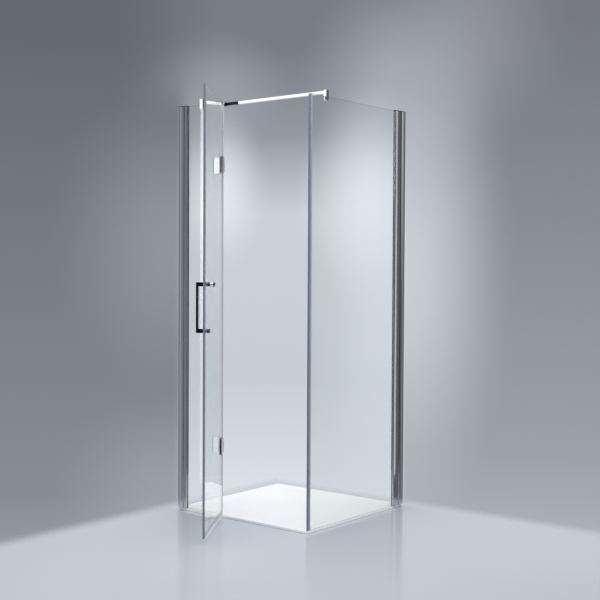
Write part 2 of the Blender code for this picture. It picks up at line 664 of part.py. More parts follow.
# ---------------------------------------------------------------------- seals
def edge_seal_outline(glass_end, lap, head, wall=0.0012):
    """U section round a glass edge with a solid magnet head in front of it."""
    inn = GLASS_T / 2 + GAP
    out = inn + wall
    base = glass_end + GAP
    return [(glass_end - lap, -out), (base, -out), (base + 0.0008, -out + 0.0004),
            (head - 0.0008, -out + 0.0004), (head, -out + 0.0012), (head, out - 0.0012),
            (head - 0.0008, out - 0.0004), (base + 0.0008, out - 0.0004), (base, out),
            (glass_end - lap, out), (glass_end - lap, inn), (base, inn), (base, -inn),
            (glass_end - lap, -inn)]


SEAL_Z0, SEAL_Z1 = DOOR_Z - 0.001, DOOR_TOP - 0.002
door_seal = extruded("door_magnet_seal",
                     edge_seal_outline(DOOR_GLASS_END, 0.010, DOOR_SEAL_END),
                     SEAL_Z1 - SEAL_Z0, (0, 0, (SEAL_Z0 + SEAL_Z1) / 2))
finish(door_seal, "seal", door_pivot)

# the side panel's seal: the same section, its head towards the front
side_seal = extruded("side_magnet_seal",
                     edge_seal_outline(0.0, 0.011, 0.0095),
                     PANEL_H - 0.004, (SIDE_MID, SIDE_START, PANEL_Z + PANEL_H / 2),
                     (0, 0, math.radians(-90)))
finish(side_seal, "seal")

# drip seal under the door: a U round the lower glass edge with a leaning lip
inn = GLASS_T / 2 + GAP
drip = [(-inn - 0.0011, 0.0160), (-inn - 0.0011, -0.0016), (-0.0012, -0.0016),
        (-0.0012, -0.0062), (0.0000, -0.0066), (0.0000, -0.0016),
        (inn + 0.0008, -0.0016), (inn + 0.0042, -0.0050), (inn + 0.0050, -0.0044),
        (inn + 0.0011, 0.0000), (inn + 0.0011, 0.0160), (inn, 0.0160), (inn, -GAP),
        (-inn, -GAP), (-inn, 0.0160)]
drip_len = DOOR_GLASS_END - 0.010 - 2 * GAP - 0.012
bottom_seal = extruded("door_bottom_seal", drip, drip_len,
                       (0.012 + drip_len / 2, 0.0, DOOR_Z),
                       (math.radians(90), 0, math.radians(90)))
finish(bottom_seal, "seal", door_pivot)


def fin_outline():
    """U section round the free edge of the fixed glass, with a bulb at the axis."""
    w = 0.0007
    out = inn + w
    edge = -EDGE_GAP
    web = edge + GAP + w
    return [(edge - 0.009, -out), (web, -out), (web, -0.0022), (0.0030, -0.0022),
            (0.0042, -0.0012), (0.0042, 0.0012), (0.0030, 0.0022), (web, 0.0022),
            (web, out), (edge - 0.009, out), (edge - 0.009, inn), (edge + GAP, inn),
            (edge + GAP, -inn), (edge - 0.009, -inn)]


fin_gap = LEAF_H / 2 + 0.0015
lengths = ((PANEL_Z + 0.002, HINGE_Z[0] - fin_gap),
           (HINGE_Z[0] + fin_gap, HINGE_Z[1] - fin_gap),
           (HINGE_Z[1] + fin_gap, INLINE_TOP - 0.001))
for tag, (a, b) in zip(("lower", "middle", "upper"), lengths):
    fin = extruded(tag + "_hinge_seal", fin_outline(), b - a, (0, 0, (a + b) / 2))
    finish(fin, "seal", frame_pivot)

bpy.context.view_layer.update()
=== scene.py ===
"""Corner shower enclosure: finishes, detailed pieces, floor, light and camera.

Metres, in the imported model's frame: origin on the tray's underside, +X along
the front towards the free glass corner, +Y to the back wall, +Z up.
"""
import json
import math

import bmesh
import bpy
from mathutils import Matrix, Vector


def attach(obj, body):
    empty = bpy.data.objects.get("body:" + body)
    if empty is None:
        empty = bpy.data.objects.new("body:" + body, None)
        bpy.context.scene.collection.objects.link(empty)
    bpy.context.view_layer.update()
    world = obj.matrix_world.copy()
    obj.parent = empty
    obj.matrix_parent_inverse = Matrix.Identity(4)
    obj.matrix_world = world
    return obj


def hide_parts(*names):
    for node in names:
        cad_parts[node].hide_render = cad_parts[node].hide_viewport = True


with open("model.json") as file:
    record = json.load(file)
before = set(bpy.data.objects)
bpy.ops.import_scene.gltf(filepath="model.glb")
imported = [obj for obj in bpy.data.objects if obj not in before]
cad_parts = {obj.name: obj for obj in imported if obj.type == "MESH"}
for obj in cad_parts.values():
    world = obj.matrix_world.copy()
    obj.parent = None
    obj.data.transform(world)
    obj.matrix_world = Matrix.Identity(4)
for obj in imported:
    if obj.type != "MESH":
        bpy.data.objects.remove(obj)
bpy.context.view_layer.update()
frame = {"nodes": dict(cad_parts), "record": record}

scene = bpy.context.scene
NODES = frame["nodes"]

# ------------------------------------------------------------------- camera
LENS = 65.353
CAM_AT = Vector((3.37807, -4.17956, 1.18129))
YAW, PITCH, ROLL = 0.672698, -0.0279155, 0.00493716

cam_data = bpy.data.cameras.new("camera")
cam_data.sensor_fit = "HORIZONTAL"
cam_data.sensor_width = 36.0
cam_data.lens = LENS
cam_data.clip_start = 0.05
cam_data.clip_end = 200.0
cam = bpy.data.objects.new("camera", cam_data)
scene.collection.objects.link(cam)
ahead = Vector((-math.sin(YAW) * math.cos(PITCH), math.cos(YAW) * math.cos(PITCH), math.sin(PITCH)))
right = Vector((math.cos(YAW), math.sin(YAW), 0.0))
up = right.cross(ahead)
right, up = (right * math.cos(ROLL) + up * math.sin(ROLL),
             -right * math.sin(ROLL) + up * math.cos(ROLL))
turn = Matrix((right, up, -ahead)).transposed()
cam.matrix_world = Matrix.Translation(CAM_AT) @ turn.to_4x4()
scene.camera = cam

scene.view_settings.view_transform = "Standard"
scene.view_settings.look = "None"
scene.cycles.use_denoising = True
scene.cycles.max_bounces = 24
scene.cycles.transmission_bounces = 20
scene.cycles.glossy_bounces = 10
scene.cycles.diffuse_bounces = 4
scene.cycles.transparent_max_bounces = 24
scene.cycles.caustics_reflective = False
scene.cycles.caustics_refractive = False
scene.cycles.sample_clamp_indirect = 4.0


# ------------------------------------------------------------- node helpers
def srgb(r, g, b):
    """Linear values for a colour given in 0-255 display values."""
    out = []
    for c in (r, g, b):
        c /= 255.0
        out.append(c / 12.92 if c <= 0.04045 else ((c + 0.055) / 1.055) ** 2.4)
    return (*out, 1.0)


class Tree:
    """A short way to write a node tree."""

    def __init__(self, nt):
        self.nt = nt
        nt.nodes.clear()

    def add(self, kind, *links, **values):
        n = self.nt.nodes.new(kind)
        for key, value in values.items():
            if hasattr(n, key):
                setattr(n, key, value)
            else:
                n.inputs[key.replace("_", " ")].default_value = value
        for name, source in links:
            self.nt.links.new(source, n.inputs[name])
        return n

    def math(self, op, a, b=None, clamp=False):
        n = self.nt.nodes.new("ShaderNodeMath")
        n.operation = op
        n.use_clamp = clamp
        for i, v in enumerate((a, b)):
            if v is None:
                continue
            if isinstance(v, (int, float)):
                n.inputs[i].default_value = v
            else:
                self.nt.links.new(v, n.inputs[i])
        return n.outputs[0]

    def mix(self, fac, a, b):
        n = self.nt.nodes.new("ShaderNodeMix")
        n.data_type = "RGBA"
        for i, v in ((0, fac), (6, a), (7, b)):
            if isinstance(v, (int, float, tuple)):
                n.inputs[i].default_value = v
            else:
                self.nt.links.new(v, n.inputs[i])
        return n.outputs[2]

    def span(self, value, lo, hi, a=0.0, b=1.0, smooth=True):
        n = self.nt.nodes.new("ShaderNodeMapRange")
        n.interpolation_type = "SMOOTHSTEP" if smooth else "LINEAR"
        self.nt.links.new(value, n.inputs["Value"])
        n.inputs["From Min"].default_value = lo
        n.inputs["From Max"].default_value = hi
        n.inputs["To Min"].default_value = a
        n.inputs["To Max"].default_value = b
        return n.outputs["Result"]

    def ramp(self, value, lo, hi, stops):
        """A colour for a value between lo and hi, from (value, colour) stops."""
        n = self.nt.nodes.new("ShaderNodeValToRGB")
        el = n.color_ramp.elements
        while len(el) > 1:
            el.remove(el[-1])
        for i, (at, col) in enumerate(stops):
            if isinstance(col, (int, float)):
                col = (col, col, col, 1.0)
            e = el[0] if i == 0 else el.new(1.0)
            e.position = (at - lo) / (hi - lo)
            e.color = col
        self.nt.links.new(self.span(value, lo, hi, smooth=False), n.inputs["Fac"])
        return n.outputs["Color"]

    def noise(self, vector, scale, detail=2.0, rough=0.5):
        n = self.nt.nodes.new("ShaderNodeTexNoise")
        n.inputs["Scale"].default_value = scale
        n.inputs["Detail"].default_value = detail
        n.inputs["Roughness"].default_value = rough
        self.nt.links.new(vector, n.inputs["Vector"])
        return n.outputs["Fac"]

    def stretch(self, vector, scale):
        n = self.nt.nodes.new("ShaderNodeMapping")
        n.inputs["Scale"].default_value = scale
        self.nt.links.new(vector, n.inputs["Vector"])
        return n.outputs[0]

    def link(self, a, b):
        self.nt.links.new(a, b)


def new_material(name):
    m = bpy.data.materials.new(name)
    m.use_nodes = True
    t = Tree(m.node_tree)
    bsdf = t.add("ShaderNodeBsdfPrincipled")
    out = t.add("ShaderNodeOutputMaterial")
    t.link(bsdf.outputs[0], out.inputs["Surface"])
    coord = t.add("ShaderNodeTexCoord")
    return m, t, bsdf, out, coord


def bump(t, bsdf, height, strength, distance):
    n = t.add("ShaderNodeBump", ("Height", height))
    n.inputs["Strength"].default_value = strength
    n.inputs["Distance"].default_value = distance
    t.link(n.outputs[0], bsdf.inputs["Normal"])


def let_light_through(t, bsdf, out, color):
    """Shadow rays pass straight through, a little tinted."""
    clear = t.add("ShaderNodeBsdfTransparent")
    clear.inputs["Color"].default_value = color
    path = t.add("ShaderNodeLightPath")
    pick = t.add("ShaderNodeMixShader", (0, path.outputs["Is Shadow Ray"]))
    t.link(bsdf.outputs[0], pick.inputs[1])
    t.link(clear.outputs[0], pick.inputs[2])
    t.link(pick.outputs[0], out.inputs["Surface"])


# ---------------------------------------------------------------- materials
def glass_material(name, face_normal, edge_a, edge_b, highlit_edge_way=None):
    """Clear float glass. The broad faces are nearly clear, the ground edges
    take the deeper tint that a long way through the glass gives. The last argument:
    the direction faced by the edges at the hinges, which get a painted highlight, a paler colour
    standing in for the light they catch."""
    m, t, bsdf, out, coord = new_material(name)
    dot = t.add("ShaderNodeVectorMath", operation="DOT_PRODUCT")
    t.link(coord.outputs["Normal"], dot.inputs[0])
    dot.inputs[1].default_value = face_normal
    broad = t.span(t.math("ABSOLUTE", dot.outputs["Value"]), 0.90, 0.97)
    streak = t.noise(t.stretch(coord.outputs["Object"], (3.0, 3.0, 0.8)), 2.2, 3.0)
    edge = t.mix(streak, edge_a, edge_b)
    if highlit_edge_way:
        way = t.add("ShaderNodeVectorMath", operation="DOT_PRODUCT")
        t.link(coord.outputs["Normal"], way.inputs[0])
        way.inputs[1].default_value = highlit_edge_way
        # painted highlight: the edges facing this way are painted paler, as if they caught the light
        edge_highlight = t.mix(streak, srgb(196, 208, 220), srgb(210, 221, 231))
        edge = t.mix(t.span(way.outputs["Value"], 0.4, 0.6), edge, edge_highlight)
    face = t.mix(streak, srgb(249, 255, 251), srgb(251, 255, 253))
    t.link(t.mix(broad, edge, face), bsdf.inputs["Base Color"])
    t.link(t.span(broad, 0.0, 1.0, 0.22, 0.0, smooth=False), bsdf.inputs["Roughness"])
    bsdf.inputs["Transmission Weight"].default_value = 1.0
    bsdf.inputs["IOR"].default_value = 1.52
    let_light_through(t, bsdf, out, srgb(249, 253, 251))
    return m


def polished_metal(name, color, low, high, scale, stretch=(1, 1, 1), dents=0.02, painted_side_shade=None):
    """A polished metal: fine wipe marks in the gloss, hardly any relief.
    The last argument: (direction, tint), painted shade: a darker tint painted wherever the surface
    does not face along the direction, standing in for the dark that the sides and ends mirror."""
    m, t, bsdf, out, coord = new_material(name)
    at = t.stretch(coord.outputs["Object"], stretch)
    fine = t.noise(at, scale, 4.0, 0.6)
    broad = t.noise(coord.outputs["Object"], 9.0, 2.0)
    gloss = t.math("ADD", t.math("MULTIPLY", fine, 0.7), t.math("MULTIPLY", broad, 0.3))
    t.link(t.span(gloss, 0.3, 0.7, low, high), bsdf.inputs["Roughness"])
    deep = tuple(c * 0.94 for c in color[:3]) + (1.0,)
    tone = t.mix(broad, deep, color)
    if painted_side_shade:
        # painted shade: faces that do not look along the direction take the dark tint
        dot = t.add("ShaderNodeVectorMath", operation="DOT_PRODUCT")
        t.link(coord.outputs["Normal"], dot.inputs[0])
        dot.inputs[1].default_value = painted_side_shade[0]
        along = t.span(t.math("ABSOLUTE", dot.outputs["Value"]), 0.975, 0.992)
        tone = t.mix(along, painted_side_shade[1], tone)
    t.link(tone, bsdf.inputs["Base Color"])
    bsdf.inputs["Metallic"].default_value = 1.0
    bump(t, bsdf, fine, dents, 0.0004)
    return m


def turned_steel(name):
    m, t, bsdf, out, coord = new_material(name)
    fine = t.noise(coord.outputs["Object"], 900.0, 3.0, 0.6)
    t.link(t.span(fine, 0.3, 0.7, 0.18, 0.34), bsdf.inputs["Roughness"])
    t.link(t.mix(fine, (0.52, 0.53, 0.55, 1), (0.66, 0.67, 0.69, 1)), bsdf.inputs["Base Color"])
    bsdf.inputs["Metallic"].default_value = 1.0
    bump(t, bsdf, fine, 0.10, 0.0002)
    return m


def soft_plastic(name, low, high, rough, scale, grain):
    m, t, bsdf, out, coord = new_material(name)
    fine = t.noise(coord.outputs["Object"], scale, 4.0, 0.6)
    broad = t.noise(coord.outputs["Object"], 24.0, 2.0)
    t.link(t.mix(broad, low, high), bsdf.inputs["Base Color"])
    t.link(t.span(fine, 0.3, 0.7, rough - 0.05, rough + 0.06), bsdf.inputs["Roughness"])
    bump(t, bsdf, fine, grain, 0.0003)
    return m


def clear_seal(name, low, high, clearness, shade):
    """Soft clear extrusion with fine drawn lines along its length."""
    m, t, bsdf, out, coord = new_material(name)
    lines = t.noise(t.stretch(coord.outputs["Object"], (1.0, 1.0, 0.01)), 1400.0, 2.0)
    haze = t.noise(coord.outputs["Object"], 40.0, 3.0)
    t.link(t.mix(haze, low, high), bsdf.inputs["Base Color"])
    t.link(t.span(lines, 0.3, 0.7, 0.14, 0.30), bsdf.inputs["Roughness"])
    bsdf.inputs["Transmission Weight"].default_value = clearness
    bsdf.inputs["IOR"].default_value = 1.48
    bump(t, bsdf, lines, 0.10, 0.0002)
    let_light_through(t, bsdf, out, shade)
    return m


def tray_material(name):
    """Cast resin stone: white satin gel coat with a very fine pebbled skin."""
    m, t, bsdf, out, coord = new_material(name)
    at = coord.outputs["Object"]
    cloud = t.noise(at, 5.0, 3.0)
    t.link(t.mix(cloud, srgb(242, 243, 246), srgb(248, 249, 251)), bsdf.inputs["Base Color"])
    pebble = t.add("ShaderNodeTexVoronoi", ("Vector", at), feature="SMOOTH_F1")
    pebble.inputs["Scale"].default_value = 420.0
    fine = t.noise(at, 900.0, 2.0)
    skin = t.math("ADD", t.math("MULTIPLY", pebble.outputs["Distance"], 0.6),
                  t.math("MULTIPLY", fine, 0.4))
    t.link(t.span(cloud, 0.3, 0.7, 0.30, 0.40), bsdf.inputs["Roughness"])
    bump(t, bsdf, skin, 0.10, 0.0003)
    return m


DOOR_OPEN = math.radians(56.4)
door_normal = (math.sin(DOOR_OPEN), math.cos(DOOR_OPEN), 0.0)
DARK_EDGE = (srgb(84, 100, 122), srgb(104, 120, 142))
M = {
    "inline_glass": glass_material("inline_glass_clear", (0, 1, 0), *DARK_EDGE, (1, 0, 0)),
    "side_glass": glass_material("side_glass_clear", (1, 0, 0), *DARK_EDGE),
    "door_glass": glass_material("door_glass_clear", door_normal, *DARK_EDGE,
                                 (-math.cos(DOOR_OPEN), math.sin(DOOR_OPEN), 0.0)),
    "chrome": polished_metal("polished_chrome", (0.84, 0.85, 0.87, 1), 0.03, 0.07, 160.0),
    "profile": polished_metal("bright_profile", (0.80, 0.81, 0.83, 1), 0.04, 0.09, 700.0,
                              (1.0, 1.0, 0.012), 0.04),
    "satin": polished_metal("satin_chrome", (0.93, 0.93, 0.94, 1), 0.30, 0.38, 300.0),
    "dark_chrome": polished_metal("dark_chrome", (0.10, 0.103, 0.112, 1), 0.06, 0.12, 160.0),
    # the door's leaves: chrome with painted shade on their sides and ends
    "door_leaf": polished_metal("leaf_chrome", (0.84, 0.85, 0.87, 1), 0.03, 0.07, 160.0,
                                painted_side_shade=(door_normal, (0.16, 0.17, 0.20, 1))),
    "steel": turned_steel("turned_steel"),
    "gasket": soft_plastic("gasket_rubber", (0.10, 0.105, 0.115, 1), (0.14, 0.145, 0.155, 1),
                           0.55, 700.0, 0.2),
    # painted light: a paler copy of the gasket rubber, standing in for the light that reaches the
    # back gasket in its narrow gap
    "back_glazing_gasket": soft_plastic("gasket_rubber_painted_light", (0.46, 0.47, 0.49, 1),
                                        (0.54, 0.55, 0.57, 1), 0.55, 700.0, 0.2),
    "profile_cap": soft_plastic("cap_moulding", (0.030, 0.032, 0.036, 1),
                                (0.045, 0.047, 0.052, 1), 0.38, 900.0, 0.15),
    "clear_seal": clear_seal("clear_seal", srgb(206, 214, 226), srgb(226, 232, 240), 0.90,
                             srgb(228, 236, 242)),
    "drip_seal": clear_seal("drip_seal", srgb(236, 239, 244), srgb(246, 248, 251), 0.45,
                            srgb(238, 243, 247)),
    "edge_seal": clear_seal("edge_seal", srgb(198, 208, 224), srgb(214, 222, 236), 0.62,
                            srgb(228, 236, 242)),
    "magnet": soft_plastic("magnet_strip", srgb(108, 116, 131), srgb(126, 134, 149),
                           0.40, 800.0, 0.2),
    "tray": tray_material("tray_gel_coat"),
    "waste_cover": soft_plastic("waste_cover_gloss", srgb(240, 242, 245), srgb(248, 249, 251),
                                0.25, 500.0, 0.06),
}
SLOT_OF = {s["node"]: s["material_slot"] for s in frame["record"]["subparts"]}
BODY_OF = {n: b for b, names in frame["record"]["behaviour"]["bodies"].items() for n in names}
for name, ob in NODES.items():
    m = M.get(name) or M[SLOT_OF[name]]
    ob.data.materials.clear()
    ob.data.materials.append(m)

# ------------------------------------------------------------ shape helpers
HERE = Matrix.Identity(4)


def rounded(points, radius, steps=3, closed=True):
    """An outline with its corners filleted. radius: one number, or one per corner."""
    made, n = [], len(points)
    for i, spot in enumerate(points):
        r = radius if isinstance(radius, (int, float)) else radius[i]
        p = Vector(spot[:2])
        if len(spot) > 2 or r <= 0 or (not closed and i in (0, n - 1)):
            made.append(tuple(spot))
            continue
        a = Vector(points[i - 1][:2]) - p
        b = Vector(points[(i + 1) % n][:2]) - p
        la, lb = a.length, b.length
        a.normalize()
        b.normalize()
        half = a.angle(b) / 2
        if half > math.radians(88) or half < math.radians(3):
            made.append(tuple(p))
            continue
        reach = min(r / math.tan(half), 0.48 * la, 0.48 * lb)
        r = reach * math.tan(half)
        centre = p + (a + b).normalized() * (r / math.sin(half))
        va, vb = p + a * reach - centre, p + b * reach - centre
        sweep = va.angle(vb)
        for k in range(steps + 1):
            f = k / steps
            v = (va * math.sin((1 - f) * sweep) + vb * math.sin(f * sweep)) / math.sin(sweep)
            made.append(tuple(centre + v))
    return made


def rect(x0, y0, x1, y1):
    return [(x0, y0), (x1, y0), (x1, y1), (x0, y1)]


def prism(bm, outline, low, high, place=HERE):
    """The outline pushed out from low to high along the local z."""
    lower = [bm.verts.new(place @ Vector((x, y, low))) for x, y in outline]
    upper = [bm.verts.new(place @ Vector((x, y, high))) for x, y in outline]
    n = len(outline)
    for i in range(n):
        j = (i + 1) % n
        bm.faces.new((lower[i], lower[j], upper[j], upper[i]))
    bm.faces.new(lower[::-1])
    bm.faces.new(upper)


def revolve(bm, profile, place=HERE, steps=48, closed=False):
    """(radius, height) points turned round the local z. A third value of 6
    makes that ring a hexagon, its radius the distance to the flats."""
    rings = []
    for spot in profile:
        r, h = spot[0], spot[1]
        if r < 1e-7:
            rings.append([bm.verts.new(place @ Vector((0.0, 0.0, h)))])
            continue
        ring = []
        for k in range(steps):
            a = 2 * math.pi * k / steps
            rr = r
            if len(spot) > 2:
                rr = r / math.cos((a + math.pi / 6) % (math.pi / 3) - math.pi / 6)
            ring.append(bm.verts.new(place @ Vector((rr * math.cos(a), rr * math.sin(a), h))))
        rings.append(ring)
    pairs = list(zip(rings, rings[1:]))
    if closed:
        pairs.append((rings[-1], rings[0]))
    for a, b in pairs:
        for k in range(steps):
            j = (k + 1) % steps
            if len(a) == 1 and len(b) == 1:
                break
            if len(a) == 1:
                bm.faces.new((a[0], b[k], b[j]))
            elif len(b) == 1:
                bm.faces.new((a[k], b[0], a[j]))
            else:
                bm.faces.new((a[k], b[k], b[j], a[j]))


def to_mesh(bm, name):
    bmesh.ops.recalc_face_normals(bm, faces=bm.faces)
    mesh = bpy.data.meshes.new(name)
    bm.to_mesh(mesh)
    bm.free()
    return mesh


def piece(name, bm, slot, nodes, body=None, ease=0.0, ease_steps=3, carve=None, look=None,
          sharp=34.0):
    """A finished piece from a bmesh: eased rims, carved hollows, smooth shading."""
    ob = bpy.data.objects.new(name, to_mesh(bm, name))
    scene.collection.objects.link(ob)
    spare = []
    if ease:
        md = ob.modifiers.new("ease", "BEVEL")
        md.width = ease
        md.segments = ease_steps
        md.limit_method = "ANGLE"
        md.angle_limit = math.radians(50)
    if carve is not None:
        tool = bpy.data.objects.new(name + "_tool", to_mesh(carve, name + "_tool"))
        scene.collection.objects.link(tool)
        spare.append(tool)
        md = ob.modifiers.new("carve", "BOOLEAN")
        md.operation = "DIFFERENCE"
        md.solver = "EXACT"
        md.object = tool
    if ease or carve is not None:
        bpy.context.view_layer.update()
        dg = bpy.context.evaluated_depsgraph_get()
        mesh = bpy.data.meshes.new_from_object(ob.evaluated_get(dg))
        ob.modifiers.clear()
        ob.data = mesh
        mesh.name = name
    for tool in spare:
        bpy.data.objects.remove(tool, do_unlink=True)
    ob.data.shade_smooth()
    ob.data.set_sharp_from_angle(angle=math.radians(sharp))
    md = ob.modifiers.new("even_shading", "WEIGHTED_NORMAL")
    md.keep_sharp = True
    md.weight = 60
    ob.data.materials.clear()
    ob.data.materials.append(M[look or slot])
    if nodes:
        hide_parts(*nodes)
        body = BODY_OF[nodes[0]]
    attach(ob, body)
    return ob


# ------------------------------------------------------------ driving numbers
WALL_X, WALL_Y = -0.405, 0.385
FRONT_MID, SIDE_MID = -0.372, 0.392
TOP, INLINE_TOP = 1.962, 1.968       # tops of the side and the front panel
HINGE = Vector((-0.125, -0.372, 0.0))
FIXED = Matrix.Translation(HINGE)
DOOR = Matrix.Translation(HINGE) @ Matrix.Rotation(-DOOR_OPEN, 4, "Z")
INWARDS = Matrix.Rotation(math.radians(-90), 4, "X")     # local z becomes +y
OUTWARDS = Matrix.Rotation(math.radians(90), 4, "X")     # local z becomes -y
HINGE_Z = {"lower": 0.346, "upper": 1.671}
HANDLE_R, HANDLE_Z, HANDLE_CC, HANDLE_W = 0.447, 1.0145, 0.202, 0.018


def at(x, y, z):
    return Matrix.Translation((x, y, z))


# --------------------------------------------------------------------- hinges
LEAF_NEAR, LEAF_FAR, LEAF_IN, LEAF_T, LEAF_H = 0.0115, 0.066, 0.0033, 0.0055, 0.075


def leaf_outline(sx, way):
    face, end, full = way * LEAF_IN, way * (LEAF_IN + 0.0034), way * (LEAF_IN + LEAF_T)
    pts = [(sx * LEAF_NEAR, face), (sx * LEAF_FAR, face), (sx * LEAF_FAR, end),
           (sx * (LEAF_FAR - 0.011), full), (sx * (LEAF_NEAR + 0.011), full),
           (sx * LEAF_NEAR, end)]
    return rounded(pts, [0.0004, 0.0004, 0.0012, 0.008, 0.008, 0.0012], steps=4)


for tag, zc in HINGE_Z.items():
    for side, sx, frame_of in (("fixed", -1, FIXED), ("door", 1, DOOR)):
        stem = "%s_hinge_%s" % (tag, side)
        bm = bmesh.new()
        prism(bm, leaf_outline(sx, -1), zc - LEAF_H / 2, zc + LEAF_H / 2, frame_of)
        if side == "fixed":
            spans = ((0.0128, 0.0300), (-0.0300, -0.0128))
        else:
            spans = ((-0.0125, 0.0125),)
        for a, b in spans:
            x0, x1 = sorted((sx * 0.0052, sx * 0.0173))
            prism(bm, rounded(rect(x0, -0.0063, x1, 0.0026), 0.0005), zc + a, zc + b, frame_of)
            revolve(bm, rounded([(0.0033, zc + a), (0.0078, zc + a), (0.0078, zc + b),
                                 (0.0033, zc + b)], 0.0006), frame_of, 48, closed=True)
        leaf_look = "door_leaf" if side == "door" else "chrome"
        piece(stem + "_outer_leaf_fine", bm, "chrome", [stem + "_outer_leaf"], ease=0.0011,
              look=leaf_look)
        bm = bmesh.new()
        prism(bm, leaf_outline(sx, 1), zc - LEAF_H / 2, zc + LEAF_H / 2, frame_of)
        sinks = bmesh.new()
        for k, s in enumerate((-1, 1)):
            spot = frame_of @ at(sx * 0.040, LEAF_IN + LEAF_T, zc + s * 0.0215) @ INWARDS
            revolve(sinks, [(0.0, 0.004), (0.0053, 0.004), (0.0053, -0.0008), (0.0029, -0.0034),
                            (0.0029, -0.020), (0.0, -0.020)], spot, 48)
            screw = bmesh.new()
            revolve(screw, [(0.0, -0.0021), (0.0016, -0.0021, 6), (0.0016, -0.0005, 6),
                            (0.0021, -0.0003), (0.0045, -0.0003), (0.0049, -0.0005),
                            (0.0049, -0.0007), (0.0025, -0.0031), (0.0023, -0.0034),
                            (0.0023, -0.0145), (0.0018, -0.0153), (0.0, -0.0153)], spot, 48)
            node = "%s_screw_%d" % (stem, k + 1)
            piece(node + "_fine", screw, "steel", [node])
        piece(stem + "_inner_leaf_fine", bm, "chrome", [stem + "_inner_leaf"], ease=0.0011,
              carve=sinks, look=leaf_look)
    bm = bmesh.new()
    revolve(bm, rounded([(0.0, zc + 0.0332), (0.0045, zc + 0.0332), (0.0045, zc + 0.0303),
                         (0.0030, zc + 0.0303), (0.0030, zc - 0.0316), (0.0, zc - 0.0316)],
                        [0, 0.0010, 0.0003, 0, 0.0006, 0], closed=False), FIXED, 32)
    piece(tag + "_hinge_pin_fine", bm, "chrome", [tag + "_hinge_pin"])

# --------------------------------------------------------------------- handle
low, high = HANDLE_Z - HANDLE_CC / 2 - HANDLE_W / 2, HANDLE_Z + HANDLE_CC / 2 + HANDLE_W / 2
side_view = Matrix(((0, 0, -1, 0), (-1, 0, 0, 0), (0, 1, 0, 0), (0, 0, 0, 1)))
grip_outline = [(0.0046, low), (0.0440, low), (0.0440, high), (0.0046, high),
                (0.0046, high - HANDLE_W), (0.0345, high - HANDLE_W),
                (0.0345, low + HANDLE_W), (0.0046, low + HANDLE_W)]
bm = bmesh.new()
prism(bm, rounded(grip_outline, [0.0005, 0.0022, 0.0022, 0.0005, 0.0005, 0.0016, 0.0016, 0.0005],
                  steps=5), -HANDLE_R - HANDLE_W / 2, -HANDLE_R + HANDLE_W / 2, DOOR @ side_view)
piece("handle_grip_fine", bm, "dark_chrome", ["handle_grip"], ease=0.0011)

for tag, s in (("upper", 1), ("lower", -1)):
    spot = DOOR @ at(HANDLE_R, 0.0, HANDLE_Z + s * HANDLE_CC / 2) @ INWARDS
    bm = bmesh.new()
    if tag == "upper":
        pts = [(0.0043, 0.0165), (0.0094, 0.0165), (0.0094, 0.0033), (0.0043, 0.0033)]
        revolve(bm, rounded(pts, [0, 0.0011, 0.0007, 0], steps=4), spot, 64, closed=True)
    else:
        pts = [(0.0, 0.0140), (0.0016, 0.0140, 6), (0.0016, 0.0160, 6), (0.0022, 0.0165),
               (0.0094, 0.0165), (0.0094, 0.0033), (0.0, 0.0033)]
        revolve(bm, rounded(pts, [0, 0, 0, 0, 0.0011, 0.0007, 0], steps=4, closed=False), spot, 48)
    piece(tag + "_inner_cap_fine", bm, "dark_chrome", [tag + "_inner_cap"])
spot = DOOR @ at(HANDLE_R, 0.0, HANDLE_Z + HANDLE_CC / 2) @ INWARDS
bm = bmesh.new()
pts = [(0.0, 0.0313), (0.0078, 0.0313), (0.0072, 0.0294), (0.0070, 0.0260), (0.0070, 0.0168),
       (0.0044, 0.0168), (0.0044, 0.0263), (0.0, 0.0263)]
revolve(bm, rounded(pts, [0, 0, 0.0020, 0, 0.0006, 0, 0, 0], steps=4, closed=False), spot, 64)
piece("inner_knob_fine", bm, "chrome", ["inner_knob"], look="satin")
# its rim: a near-black disc, painted dark reflection standing in for the dark that the chrome knob's
# end mirrors
bm = bmesh.new()
pts = [(0.0, 0.0371), (0.0066, 0.0371), (0.0070, 0.0375), (0.0098, 0.0375), (0.0098, 0.0313),
       (0.0, 0.0313)]
revolve(bm, rounded(pts, [0, 0.0002, 0.0002, 0.0010, 0.0010, 0], steps=4, closed=False), spot, 64)
piece("inner_knob_rim", bm, "dark_chrome", [], body="door", look="profile_cap")

# -------------------------------------------------------------- wall profiles
PZ, CAP_T = 0.0123, 0.0030


def groove(points, x, y, way, width=0.0016, depth=0.0005):
    """A fine drawn line in the face y, its bottom towards -way."""
    points += [(x - width / 2, y), (x - width / 6, y - way * depth),
               (x + width / 6, y - way * depth), (x + width / 2, y)]


# the channel's outer face swells to a low ridge and falls again to its mouth
RIDGE = [(0.0, -0.013), (0.008, -0.013), (0.0215, -0.01454), (0.035, -0.0139)]


def channel_outline():
    w, d, t = 0.013, 0.035, 0.0015
    pts = RIDGE + [(d, -w + t), (t, -w + t), (t, w - t), (d, w - t), (d, w)]
    for x in (0.0300, 0.0085):
        mark = []
        groove(mark, x, w, 1)
        pts += mark[::-1]
    pts.append((0.0, w))
    return pts


def adjust_outline(n):
    """The legs are parallel, the nose round the glass tapers to the mouth."""
    w, t, web = 0.0111, 0.0015, n - 0.027
    half = [(0.0, -w), (web, -w), (n - 0.0030, -0.0096), (n - 0.0003, -0.0075), (n, -0.0047),
            (n - 0.0015, -0.0047), (n - 0.0015, -0.0068), (n - 0.0040, -0.0083),
            (web, -w + t)]
    other = [(x, -y) for x, y in reversed(half)]
    return half + other + [(0.0, w - t), (web - 0.0015, w - t), (web - 0.0015, -w + t),
                           (0.0, -w + t)]


